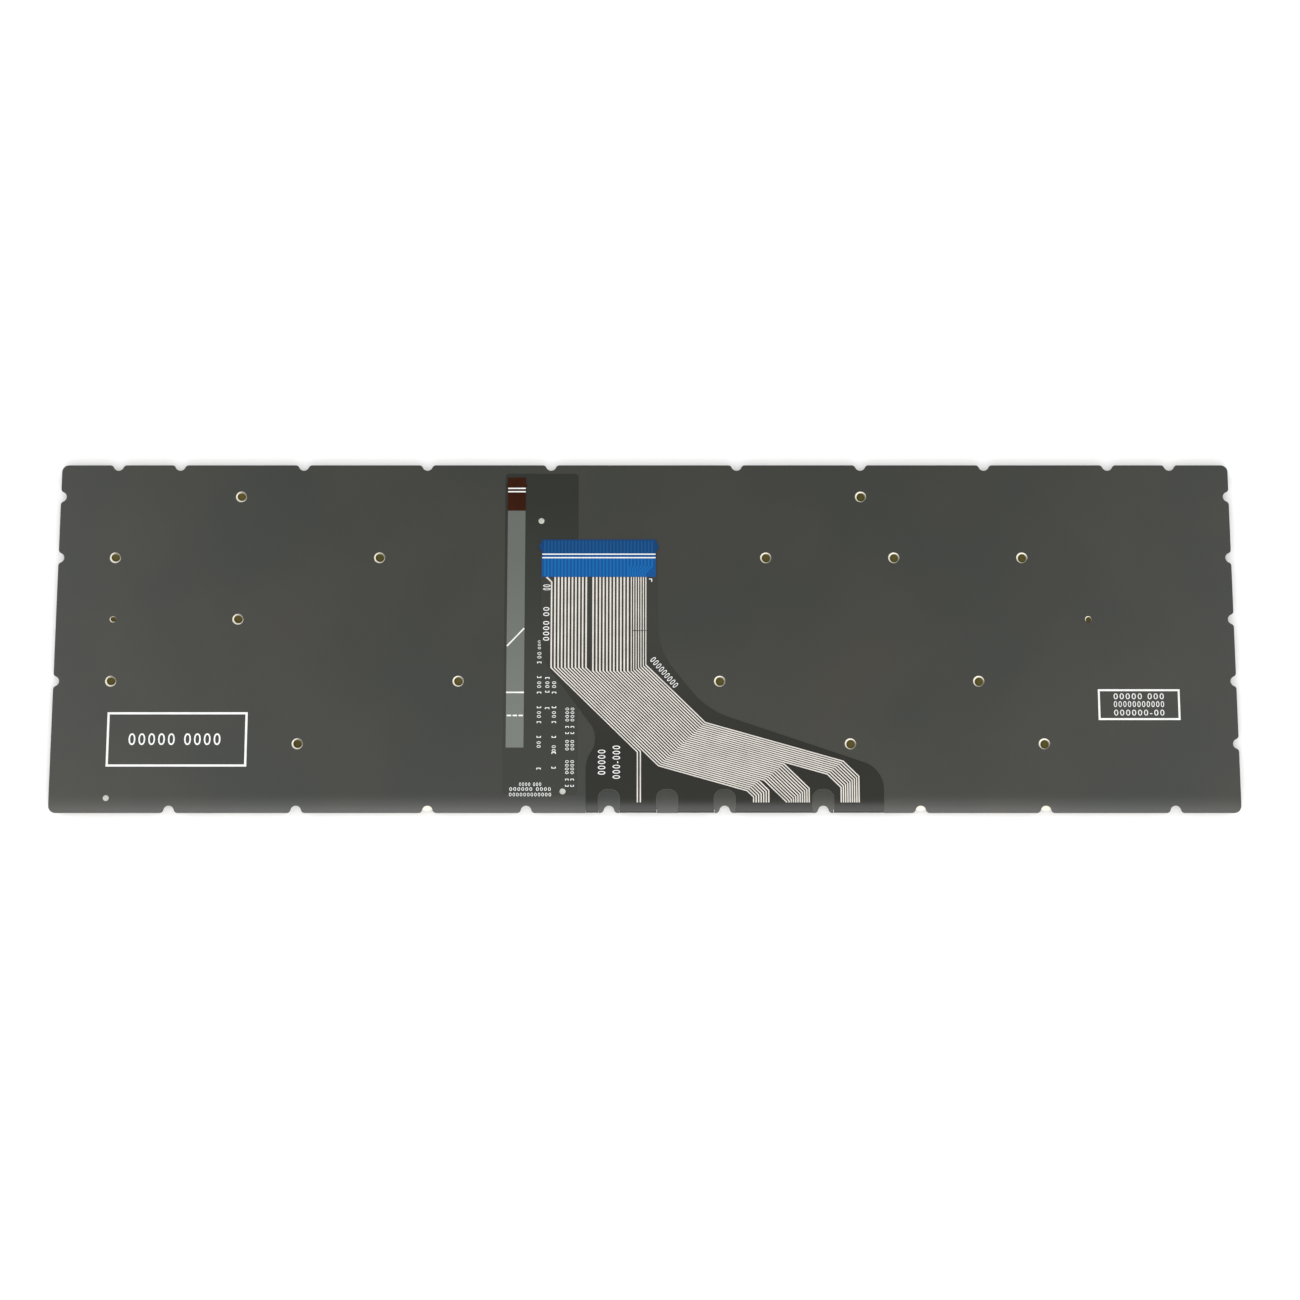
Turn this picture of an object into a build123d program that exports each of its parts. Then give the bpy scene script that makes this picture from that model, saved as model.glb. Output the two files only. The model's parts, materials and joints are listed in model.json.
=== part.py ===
from build123d import *
from math import asin, degrees
import os

# A backlit laptop replacement keyboard that lies on its keycaps, with its back upwards.
# The keycap tops are at z = 0. +X runs towards the keyboard's left-hand keys, +Y towards its
# function row and +Z out of its back. All sizes are in millimetres.

os.makedirs("parts", exist_ok=True)

# Key grid
pad_pitch = 18.0
row_pitch = 18.4
function_row_depth = 9.6
main_block_width = 270.0
key_gap = 3.2
rear_key_margin = 0.4
first_number_cell = 15.1
backspace_cell = 31.7
tab_cell = 24.4
caps_cell = 28.5
shift_cell = 37.75
control_cell = 19.6

# Keycaps and what carries them
key_height = 2.0
key_travel = 1.5
key_clearance = 0.2
key_corner = 1.4
key_draft = 8
key_wall = 1.0
key_top_thickness = 0.9
dome_radius = 2.8
dome_draft = 20
link_length = 10.6
link_width = 1.6
link_thickness = 0.5
link_gap = 0.3

# Stack of sheets, from the keys to the back
membrane_thickness = 0.25
plate_thickness = 0.45
guide_thickness = 0.3
reflector_thickness = 0.1
film_thickness = 0.1
ply_gap = 0.02
sheet_gap = 0.2

# Outline that the plate and the back film share
inset_pad_side = 1.55
inset_main_side = 0.95
front_margin = 1.7
corner_cut = 1.1
plate_inset = 0.3
notch_radius = 1.5
notch_depth = 1.65
front_notch_depth = 2.1
inner_sheet_inset = 2.6

# Holes for the heat stakes of the palm rest, and for its two locating pins
stake_radius = 1.15
stake_film_radius = 1.6
pin_radius = 0.75
pin_film_radius = 0.95
inner_hole_side = 4.0

# Front edge, where the back film comes down on the plate and the tail folds round it
front_slope_start = 4.6
front_land = 1.6
tail_setback = 0.6

# Membrane tail with its stiffened end
tail_thickness = 0.12
tail_end_x = -13.3
tail_end_width = 33.4
tail_end_y = 29.0
tail_foot_left = -16.8
tail_foot_right = 68.1
tail_left_bend_y = -6.0
tail_waist_x = -12.6
tail_waist_y = -29.5
tail_foot_y = -35.5
tail_right_bend_y = -3.0
tail_shoulder_x = 17.8
tail_shoulder_y = -21.5
tail_hip_y = -39.5
tail_corner = 3.0
arch_width = 6.0
arch_height = 6.7
arch_corner = 2.0
stiffener_width = 33.0
stiffener_length = 11.2
stiffener_thickness = 0.2
stiffener_ear = 0.7
stiffener_ear_length = 2.6
stiffener_ear_setback = 2.1

# Light strip with its own tail
strip_x = -29.9
strip_width = 21.2
strip_rear_y = 49.0
strip_front_y = -46.4
strip_thickness = 0.15
led_length = 3.0
led_width = 0.8
led_height = 0.4
led_pitch = 8.3
led_first_y = -7.0
led_column_offset = 1.9
led_column_pitch = 3.9
led_window_gap = 0.4
light_tail_margin = 0.75
light_tail_width = 5.1
light_tail_front_y = -32.7
light_tail_rear_y = 47.8
light_tip_length = 10.0
light_tip_width = 5.2
light_tip_thickness = 0.15
light_tip_ear = 0.5
light_tip_ear_setback = 2.4

# Counts and places on the key grid, in columns from the number pad and rows from the rear
function_keys = 19
full_number_keys = 12
arrow_columns = 3
dome_sides = 3
notch_sides = 6
film_hole_sides = 8
led_rows = 4
rear_notches = [1, 2, 4, 6, 8, 11, 13, 15, 17, 18]
front_notches = [1.99, 4, 6.08, 7.64, 8.95, 10.78, 12.34, 13.88, 15.86, 17.91]
pad_side_notches = [0, 1, 3]
main_side_notches = [0, 1, 2, 3, 4]
tail_arches = [8.95, 9.87, 10.78, 12.34]
stakes = [
    (3, 0), (13, 0),
    (1, 1), (5.25, 1), (11.46, 1), (13.52, 1), (15.58, 1),
    (3, 2),
    (1, 3), (6.54, 3), (10.71, 3), (14.84, 3),
    (4, 4), (12.78, 4), (15.86, 4),
]
pins = [(1, 2), (16.62, 2)]

# Sizes that follow from those above
grid_width = main_block_width + 4 * pad_pitch
function_pitch = grid_width / function_keys
key_pitch = (main_block_width - first_number_cell - backspace_cell) / full_number_keys
plate_width = grid_width - inset_pad_side - inset_main_side
plate_depth = function_row_depth + 5 * row_pitch + front_margin
front_y = -plate_depth / 2
rear_y = plate_depth / 2
membrane_z = key_height + key_travel + key_clearance
plate_z = membrane_z + membrane_thickness
guide_z = plate_z + plate_thickness
reflector_z = guide_z + guide_thickness
film_z = reflector_z + reflector_thickness
back_z = film_z + film_thickness
strip_top = back_z + strip_thickness
tail_z = strip_top + ply_gap
tail_top = tail_z + tail_thickness
land_top = guide_z + film_thickness
fold_radius = (land_top + ply_gap + tail_thickness - membrane_z) / 2
fold_y = front_y + tail_setback + fold_radius
recess_y = fold_y + 2 * ply_gap
pocket_z = key_top_thickness
dome_height = membrane_z - pocket_z
led_column_x = strip_x + led_column_offset
led_middle_y = led_first_y - (led_rows - 1) * led_pitch / 2
light_tail_x = strip_x - strip_width / 2 + light_tail_margin + light_tail_width / 2


def column_x(column):
    """X of a column line, counted from the number pad's side."""
    return column * function_pitch - inset_pad_side - plate_width / 2


def row_y(row):
    """Y of the line below the function row, for row 0, or below a later row."""
    return rear_y - function_row_depth - row * row_pitch


def grid_points(places):
    """Points on the sheets for a list of columns and rows."""
    return [(column_x(column), row_y(row)) for column, row in places]


def notch_points():
    """Centres of the round notches along the four edges."""
    rear = [(column_x(c), rear_y - notch_depth + notch_radius) for c in rear_notches]
    front = [(column_x(c), front_y + front_notch_depth - notch_radius) for c in front_notches]
    side_x = plate_width / 2 - notch_depth + notch_radius
    pad_side = [(-side_x, row_y(r)) for r in pad_side_notches]
    main_side = [(side_x, row_y(r)) for r in main_side_notches]
    return rear + front + pad_side + main_side


def tail_recess():
    """Strip of the front edge that is cut back where the tail folds round it."""
    width = tail_foot_right - tail_foot_left + 2 * sheet_gap
    middle = (tail_foot_left + tail_foot_right) / 2
    with BuildSketch() as recess:
        with Locations((middle, front_y)):
            Rectangle(width, 2 * (recess_y - front_y))
    return recess.sketch


def notched_outline(edge_inset, notch_size):
    """Outline that the plate and the back film share, with a notch at each place."""
    with BuildSketch() as outline:
        Rectangle(plate_width - 2 * edge_inset, plate_depth - 2 * edge_inset)
        chamfer(outline.vertices(), corner_cut)
        with Locations(*notch_points()):
            RegularPolygon(notch_size, notch_sides, major_radius=False, mode=Mode.SUBTRACT)
        add(tail_recess(), mode=Mode.SUBTRACT)
    return outline.sketch


def inner_outline(front_inset):
    """Plain sheet inside the notches, with square cut-outs that clear the stakes."""
    depth = plate_depth - inner_sheet_inset - front_inset
    with BuildSketch() as outline:
        with Locations((0, (front_inset - inner_sheet_inset) / 2)):
            Rectangle(plate_width - 2 * inner_sheet_inset, depth)
        with Locations(*grid_points(stakes + pins)):
            Rectangle(inner_hole_side, inner_hole_side, mode=Mode.SUBTRACT)
    return outline.sketch


def tail_arch_cuts():
    """Cut-outs that keep the folded tail clear of the notches in the front edge."""
    with BuildSketch() as cuts:
        with Locations(*[(column_x(column), front_y) for column in tail_arches]):
            Rectangle(arch_width, 2 * arch_height)
        chamfer(cuts.vertices(), arch_corner)
    return cuts.sketch


def led_window():
    """Slot that both columns of light-emitting diodes reach through."""
    length = (led_rows - 1) * led_pitch + led_length + 2 * led_window_gap
    with BuildSketch() as window:
        with Locations((led_column_x, led_middle_y)):
            Rectangle(led_column_pitch + led_width + 2 * led_window_gap, length)
    return window.sketch


def row_cells(names, first_width, wide_key, row, end_keys=0):
    """Cells of one row as (name, centre x, centre y, keycap width, keycap depth).

    One wide key takes the width that the first key, the others and the keys past the end leave.
    """
    taken = first_width + key_pitch * (len(names) - 2 + end_keys)
    widths = [key_pitch] * len(names)
    widths[0] = first_width
    widths[names.index(wide_key)] = main_block_width - taken
    cells = []
    start = column_x(function_keys)
    for name, width in zip(names, widths):
        centre = (start - width / 2, row_y(row) - row_pitch / 2)
        cells.append((name, *centre, width - key_gap, row_pitch - key_gap))
        start -= width
    return cells


def keycap(x, y, width, depth):
    """Keycap without its hollow, with cut corners and drafted sides."""
    with BuildPart() as cap:
        with BuildSketch(Plane.XY.offset(key_height)) as skirt:
            with Locations((x, y)):
                Rectangle(width, depth)
            chamfer(skirt.vertices(), key_corner)
        extrude(amount=-key_height)
        sides = cap.faces().filter_by(Axis.Z, reverse=True)
        draft(sides, Plane.XY.offset(key_height), -key_draft)
    return cap.part


def dome(x, y, top_z):
    """Rubber dome from the membrane up to the keycap, kept to a few flat sides."""
    with BuildPart() as cone:
        with BuildSketch(Plane.XY.offset(membrane_z)):
            with Locations((x, y)):
                RegularPolygon(dome_radius, dome_sides)
        extrude(amount=top_z - membrane_z)
        sides = cone.faces().filter_by(Axis.Z, reverse=True)
        draft(sides, Plane.XY.offset(membrane_z), -dome_draft)
    return cone.part


# Keys of each row, from the keyboard's left
letter_rows = [
    row_cells(
        ["tab", *"qwertyuiop", "left_bracket", "right_bracket", "backslash"],
        tab_cell, "backslash", 1),
    row_cells(
        ["caps_lock", *"asdfghjkl", "semicolon", "quote", "enter"],
        caps_cell, "enter", 2),
    row_cells(
        ["left_shift", *"zxcvbnm", "comma", "period", "slash", "right_shift"],
        shift_cell, "right_shift", 3),
    row_cells(
        ["left_control", "function", "menu", "left_alt", "space", "right_alt", "right_control"],
        control_cell, "space", 4, end_keys=arrow_columns),
]
moving_keys = [cell for row in letter_rows for cell in row]

number_row = row_cells(
    ["grave", *range(full_number_keys), "backspace"], first_number_cell, "backspace", 0)
function_depth = function_row_depth - rear_key_margin - key_gap / 2
function_y = row_y(0) + key_gap / 2 + function_depth / 2
function_row = [
    (column, column_x(column + 0.5), function_y, function_pitch - key_gap, function_depth)
    for column in range(function_keys)
]

# Number pad, counted from its outer column, with its tall and wide keys
pad_cells = [(3, 0, 1, 1), (2, 0, 1, 1), (1, 0, 1, 1), (0, 0, 1, 1),
             (3, 1, 1, 1), (2, 1, 1, 1), (1, 1, 1, 1), (0, 1, 1, 2),
             (3, 2, 1, 1), (2, 2, 1, 1), (1, 2, 1, 1),
             (3, 3, 1, 1), (2, 3, 1, 1), (1, 3, 1, 1), (0, 3, 1, 2),
             (2, 4, 2, 1), (1, 4, 1, 1)]
pad_keys = [
    ("pad", column_x(0) + (column + wide / 2) * pad_pitch, row_y(row + tall / 2),
     wide * pad_pitch - key_gap, tall * row_pitch - key_gap)
    for column, row, wide, tall in pad_cells
]

# Arrow keys, with the two middle ones at half depth
arrow_x = column_x(function_keys) - main_block_width + key_pitch / 2
arrow_y = row_y(4.5)
half_depth = (row_pitch - key_gap) / 2 - ply_gap
half_step = half_depth / 2 + ply_gap
arrow_keys = [
    ("right", arrow_x, arrow_y, key_pitch - key_gap, row_pitch - key_gap),
    ("left", arrow_x + 2 * key_pitch, arrow_y, key_pitch - key_gap, row_pitch - key_gap),
    ("up", arrow_x + key_pitch, arrow_y + half_step, key_pitch - key_gap, half_depth),
    ("down", arrow_x + key_pitch, arrow_y - half_step, key_pitch - key_gap, half_depth),
]

# Keycaps that travel, hollow underneath, one to a node
for name, x, y, width, depth in moving_keys:
    with BuildPart() as key:
        add(keycap(x, y, width, depth))
        with BuildSketch(Plane.XY.offset(key_height)):
            with Locations((x, y)):
                Rectangle(width - 2 * key_wall, depth - 2 * key_wall)
        extrude(amount=pocket_z - key_height, mode=Mode.SUBTRACT)
    key.part.label = f"key_{name}"
    export_step(key.part, f"parts/key_{name}.step")

# Keycaps of the other rows, each fused with the dome that carries it
fixed_groups = {
    "function_and_number_keys": function_row + number_row,
    "number_pad_and_arrow_keys": pad_keys + arrow_keys,
}
for group, cells in fixed_groups.items():
    with BuildPart() as keys:
        add([keycap(x, y, width, depth) for name, x, y, width, depth in cells])
        add([dome(x, y, key_height) for name, x, y, width, depth in cells])
    keys.part.label = group
    export_step(keys.part, f"parts/{group}.step")

# Rubber domes that push the travelling keys back
with BuildPart() as rubber_domes:
    add([dome(x, y, pocket_z) for name, x, y, width, depth in moving_keys])
rubber_domes.part.label = "rubber_domes"
export_step(rubber_domes.part, "parts/rubber_domes.step")

# Scissors, two three-sided links beside each dome that cross from the membrane to the keycap
link_rise = dome_height - link_thickness - 3 * ply_gap
link_tilt = degrees(asin(link_rise / link_length))
link_step = dome_radius + link_gap + link_width / 2
middle_z = membrane_z - dome_height / 2
with BuildPart() as bar:
    with BuildSketch(Plane.YZ):
        with BuildLine():
            Polyline((-link_width / 2, -link_thickness / 2), (link_width / 2, -link_thickness / 2),
                     (0, link_thickness / 2), close=True)
        make_face()
    extrude(amount=link_length / 2, both=True)
with BuildPart() as scissor_links:
    for side in (1, -1):
        places = [Location((x, y + side * link_step, middle_z), (0, side * link_tilt, 0))
                  for name, x, y, width, depth in moving_keys]
        add([bar.part.moved(place) for place in places])
scissor_links.part.label = "scissor_links"
export_step(scissor_links.part, "parts/scissor_links.step")

# Contact membrane in one piece with the tail that folds round the front edge
with BuildPart() as membrane:
    root_y = front_y + inner_sheet_inset + front_land
    slope_foot = fold_y + (front_land - tail_setback) / 3
    slope_head = slope_foot + front_slope_start - front_land
    low_z = land_top + ply_gap
    inner_bend = (fold_radius - tail_thickness) / 2
    outer_bend = fold_radius / 2
    with BuildSketch(Plane.YZ.offset(tail_end_x - tail_end_width / 2)):
        with BuildLine():
            Polyline((root_y, membrane_z), (fold_y, membrane_z),
                     (fold_y - fold_radius, membrane_z + outer_bend),
                     (fold_y - fold_radius, low_z + tail_thickness - outer_bend),
                     (fold_y, low_z + tail_thickness), (slope_foot, low_z + tail_thickness),
                     (slope_head, tail_top), (tail_end_y, tail_top), (tail_end_y, tail_z),
                     (slope_head, tail_z), (slope_foot, low_z), (fold_y, low_z),
                     (fold_y - fold_radius + tail_thickness, low_z - inner_bend),
                     (fold_y - fold_radius + tail_thickness, membrane_z + tail_thickness + inner_bend),
                     (fold_y, membrane_z + tail_thickness), (root_y, membrane_z + tail_thickness),
                     close=True)
        make_face()
    extrude(amount=tail_foot_right - tail_end_x + tail_end_width / 2)
    with BuildSketch(Plane.XY.offset(membrane_z)) as tail_plan:
        with BuildLine():
            left_x = tail_end_x - tail_end_width / 2
            right_x = tail_end_x + tail_end_width / 2
            Polyline((left_x, tail_end_y), (left_x, tail_left_bend_y),
                     (tail_waist_x, tail_waist_y), (tail_foot_left, tail_foot_y),
                     (tail_foot_left, front_y), (tail_foot_right, front_y),
                     (tail_foot_right, tail_hip_y), (tail_shoulder_x, tail_shoulder_y),
                     (right_x, tail_right_bend_y), (right_x, tail_end_y), close=True)
        make_face()
        bends = tail_plan.vertices().filter_by_position(Axis.Y, front_y, tail_end_y, (False, False))
        chamfer(bends, tail_corner)
        add(tail_arch_cuts(), mode=Mode.SUBTRACT)
    extrude(amount=tail_top - membrane_z, mode=Mode.INTERSECT)
    with BuildSketch(Plane.XY.offset(membrane_z)):
        add(inner_outline(inner_sheet_inset))
    extrude(amount=membrane_thickness)
membrane.part.label = "membrane"
export_step(membrane.part, "parts/membrane.step")

# Stiffener bonded on the end of the tail, with a small ear on each side
with BuildPart() as tail_stiffener:
    with BuildSketch(Plane.XY.offset(tail_top)):
        with Locations((tail_end_x, tail_end_y - stiffener_length / 2)):
            Rectangle(stiffener_width, stiffener_length)
        with BuildSketch(mode=Mode.PRIVATE) as ears:
            Rectangle(stiffener_width + 2 * stiffener_ear, stiffener_ear_length)
            chamfer(ears.vertices(), stiffener_ear * 0.9)
        with Locations((tail_end_x, tail_end_y - stiffener_ear_setback)):
            add(ears.sketch)
    extrude(amount=stiffener_thickness)
tail_stiffener.part.label = "tail_stiffener"
export_step(tail_stiffener.part, "parts/tail_stiffener.step")

# Steel plate that carries everything
with BuildPart() as support_plate:
    with BuildSketch(Plane.XY.offset(plate_z)):
        add(notched_outline(plate_inset, notch_radius + sheet_gap))
        with Locations(*grid_points(stakes)):
            Circle(stake_radius, mode=Mode.SUBTRACT)
        with Locations(*grid_points(pins)):
            Circle(pin_radius, mode=Mode.SUBTRACT)
    extrude(amount=plate_thickness)
support_plate.part.label = "support_plate"
export_step(support_plate.part, "parts/support_plate.step")

# Clear sheet that spreads the light under the keys
with BuildPart() as light_guide:
    with BuildSketch(Plane.XY.offset(guide_z)):
        add(inner_outline(front_slope_start + sheet_gap))
        add(led_window(), mode=Mode.SUBTRACT)
    extrude(amount=guide_thickness)
light_guide.part.label = "light_guide"
export_step(light_guide.part, "parts/light_guide.step")

# White film that throws the light back towards the keys
with BuildPart() as reflector_film:
    with BuildSketch(Plane.XY.offset(reflector_z)):
        add(inner_outline(front_slope_start + sheet_gap))
        add(led_window(), mode=Mode.SUBTRACT)
    extrude(amount=reflector_thickness)
reflector_film.part.label = "reflector_film"
export_step(reflector_film.part, "parts/reflector_film.step")

# Black film over the whole back, which comes down on the plate along the front edge
with BuildPart() as back_film:
    slope_start = front_y + front_slope_start
    land_start = front_y + front_land
    with BuildSketch(Plane.YZ.offset(-plate_width / 2)):
        with BuildLine():
            Polyline((rear_y, film_z), (rear_y, back_z), (slope_start, back_z),
                     (land_start, land_top), (front_y, land_top), (front_y, guide_z),
                     (land_start, guide_z), (slope_start, film_z), close=True)
        make_face()
    extrude(amount=plate_width)
    with BuildSketch(Plane.XY.offset(guide_z)):
        add(notched_outline(0, notch_radius))
        with Locations(*grid_points(stakes)):
            RegularPolygon(stake_film_radius, film_hole_sides, mode=Mode.SUBTRACT)
        with Locations(*grid_points(pins)):
            RegularPolygon(pin_film_radius, film_hole_sides, mode=Mode.SUBTRACT)
        add(led_window(), mode=Mode.SUBTRACT)
    extrude(amount=back_z - guide_z, mode=Mode.INTERSECT)
back_film.part.label = "back_film"
export_step(back_film.part, "parts/back_film.step")

# Flexible board of the backlight, stuck on the back film over the slot
with BuildPart() as light_strip:
    with BuildSketch(Plane.XY.offset(back_z)):
        with Locations((strip_x, (strip_rear_y + strip_front_y) / 2)):
            Rectangle(strip_width, strip_rear_y - strip_front_y)
    extrude(amount=strip_thickness)
light_strip.part.label = "light_strip"
export_step(light_strip.part, "parts/light_strip.step")

# Light-emitting diodes under the board, in the slot
with BuildPart() as light_diodes:
    with BuildSketch(Plane.XY.offset(back_z)):
        with Locations((led_column_x, led_middle_y)):
            with GridLocations(led_column_pitch, led_pitch, 2, led_rows):
                Rectangle(led_width, led_length)
    extrude(amount=-led_height)
light_diodes.part.label = "light_diodes"
export_step(light_diodes.part, "parts/light_diodes.step")

# Tail of the backlight, laid along its board
with BuildPart() as light_tail:
    with BuildSketch(Plane.XY.offset(strip_top)):
        with Locations((light_tail_x, (light_tail_rear_y + light_tail_front_y) / 2)):
            Rectangle(light_tail_width, light_tail_rear_y - light_tail_front_y)
    extrude(amount=tail_thickness)
light_tail.part.label = "light_tail"
export_step(light_tail.part, "parts/light_tail.step")

# Stiffened tip of that tail, with two pointed ears
with BuildPart() as light_tail_tip:
    with BuildSketch(Plane.XY.offset(strip_top + tail_thickness)):
        with Locations((light_tail_x, light_tail_rear_y - light_tip_length / 2)):
            Rectangle(light_tip_width, light_tip_length)
        with Locations((light_tail_x, light_tail_rear_y - light_tip_ear_setback)):
            with GridLocations(light_tip_width, 0, 2, 1):
                RegularPolygon(light_tip_ear, 4)
    extrude(amount=light_tip_thickness)
light_tail_tip.part.label = "light_tail_tip"
export_step(light_tail_tip.part, "parts/light_tail_tip.step")
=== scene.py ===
import json
import math

import bmesh
import bpy
from mathutils import Matrix, Vector


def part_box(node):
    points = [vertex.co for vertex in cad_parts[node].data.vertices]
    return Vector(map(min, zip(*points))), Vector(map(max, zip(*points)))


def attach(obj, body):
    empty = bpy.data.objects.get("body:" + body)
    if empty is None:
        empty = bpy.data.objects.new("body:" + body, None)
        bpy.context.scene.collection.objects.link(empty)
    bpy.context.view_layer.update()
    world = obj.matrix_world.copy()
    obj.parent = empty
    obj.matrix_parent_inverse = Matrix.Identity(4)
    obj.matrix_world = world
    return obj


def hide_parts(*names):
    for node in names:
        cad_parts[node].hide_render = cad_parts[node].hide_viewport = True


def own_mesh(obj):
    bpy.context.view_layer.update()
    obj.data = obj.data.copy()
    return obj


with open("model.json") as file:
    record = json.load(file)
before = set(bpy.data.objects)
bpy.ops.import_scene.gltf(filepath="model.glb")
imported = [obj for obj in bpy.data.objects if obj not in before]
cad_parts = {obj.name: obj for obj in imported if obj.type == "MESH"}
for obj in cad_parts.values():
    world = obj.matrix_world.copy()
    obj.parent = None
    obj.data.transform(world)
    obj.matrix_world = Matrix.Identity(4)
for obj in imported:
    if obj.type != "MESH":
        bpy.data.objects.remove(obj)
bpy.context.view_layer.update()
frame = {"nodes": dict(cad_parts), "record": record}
nodes = frame["nodes"]

# Support plate: one sheet of zinc-plated steel, stamped flat, with round holes for the stakes of a
# palm rest and round notches along its edges. Every other sheet is bonded to it.
mm = 0.001
film_low, film_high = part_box("back_film")
plate_low, plate_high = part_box("support_plate")
rear_columns = (1, 2, 4, 6, 8, 11, 13, 15, 17, 18)
front_columns = (1.99, 4, 6.08, 7.64, 8.95, 10.78, 12.34, 13.88, 15.86, 17.91)
pad_side_rows = (0, 1, 3)
main_side_rows = (0, 1, 2, 3, 4)
tail_legs = ((-16.8, -13.2), (-7.2, 3.4), (9.4, 19.8), (25.8, 47.7), (53.7, 68.1))
tail_recess = 1.12 * mm


def column_x(column):
    """X of a column line of the key grid, counted from the number pad's side."""
    return film_low.x + (18 * column - 1.55) * mm


def row_y(row):
    """Y of the line below the function row, for row 0, or below a later row."""
    return film_high.y - (9.6 + 18.4 * row) * mm


def mount_holes(ending):
    """Places of the holes that the record's two-hole mounts with this ending give."""
    places = set()
    for mount in frame["record"]["mounts"]:
        if mount["name"].endswith(ending):
            half_x = mount["dims"].get("spacing_x_mm", 0) * mm / 2
            half_y = mount["dims"].get("spacing_y_mm", 0) * mm / 2
            x, y = mount["pos_m"][:2]
            places.update((round(x + s * half_x, 6), round(y + s * half_y, 6)) for s in (-1, 1))
    return sorted(places)


stake_holes = mount_holes("stake_holes")
pin_holes = mount_holes("pin_holes")


def srgb(red, green, blue):
    """Linear colour of a display colour given from 0 to 255."""
    def linear(value):
        share = value / 255
        return share / 12.92 if share < 0.04045 else ((share + 0.055) / 1.055) ** 2.4
    return (linear(red), linear(green), linear(blue), 1)


def new_socket_list(group, direction, names):
    """Gives a node group plain float sockets with these names."""
    for name in names:
        group.interface.new_socket(name, in_out=direction, socket_type="NodeSocketFloat")


mottle = bpy.data.node_groups.new("sheet_mottle", "ShaderNodeTree")
new_socket_list(mottle, "INPUT", ("Cloud Scale", "Grain Scale"))
new_socket_list(mottle, "OUTPUT", ("Cloud", "Grain"))
mottle_in = mottle.nodes.new("NodeGroupInput")
mottle_out = mottle.nodes.new("NodeGroupOutput")
mottle_place = mottle.nodes.new("ShaderNodeTexCoord")
for scale_name, result, detail in (("Cloud Scale", "Cloud", 5.0), ("Grain Scale", "Grain", 2.0)):
    noise = mottle.nodes.new("ShaderNodeTexNoise")
    noise.inputs["Detail"].default_value = detail
    mottle.links.new(mottle_place.outputs["Object"], noise.inputs["Vector"])
    mottle.links.new(mottle_in.outputs[scale_name], noise.inputs["Scale"])
    mottle.links.new(noise.outputs["Fac"], mottle_out.inputs[result])


def finish(name, dark, light, rough, cloud=40.0, grain=3000.0, bump=0.1, along=None, **plain):
    """A material that drifts between two tones, at random or along an axis, with a fine grain."""
    material = bpy.data.materials.new(name)
    material.use_nodes = True
    tree = material.node_tree
    shader = tree.nodes["Principled BSDF"]
    pattern = tree.nodes.new("ShaderNodeGroup")
    pattern.node_tree = mottle
    pattern.inputs["Cloud Scale"].default_value = cloud
    pattern.inputs["Grain Scale"].default_value = grain
    ramp = tree.nodes.new("ShaderNodeValToRGB")
    ramp.color_ramp.elements[0].position = 0.3
    ramp.color_ramp.elements[0].color = dark
    ramp.color_ramp.elements[1].position = 0.7
    ramp.color_ramp.elements[1].color = light
    tone = pattern.outputs["Cloud"]
    if along:
        axis, start, end = along
        place = tree.nodes.new("ShaderNodeTexCoord")
        split = tree.nodes.new("ShaderNodeSeparateXYZ")
        tree.links.new(place.outputs["Object"], split.inputs["Vector"])
        drift = tree.nodes.new("ShaderNodeMapRange")
        drift.inputs["From Min"].default_value = start
        drift.inputs["From Max"].default_value = end
        tree.links.new(split.outputs[axis], drift.inputs["Value"])
        tone = drift.outputs["Result"]
    tree.links.new(tone, ramp.inputs["Fac"])
    tree.links.new(ramp.outputs["Color"], shader.inputs["Base Color"])
    gloss = tree.nodes.new("ShaderNodeMapRange")
    gloss.inputs["To Min"].default_value = rough[0]
    gloss.inputs["To Max"].default_value = rough[1]
    tree.links.new(pattern.outputs["Grain"], gloss.inputs["Value"])
    tree.links.new(gloss.outputs["Result"], shader.inputs["Roughness"])
    relief = tree.nodes.new("ShaderNodeBump")
    relief.inputs["Strength"].default_value = bump
    relief.inputs["Distance"].default_value = 0.02 * mm
    tree.links.new(pattern.outputs["Grain"], relief.inputs["Height"])
    tree.links.new(relief.outputs["Normal"], shader.inputs["Normal"])
    for socket, value in plain.items():
        shader.inputs[socket.replace("_", " ")].default_value = value
    return material


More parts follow.
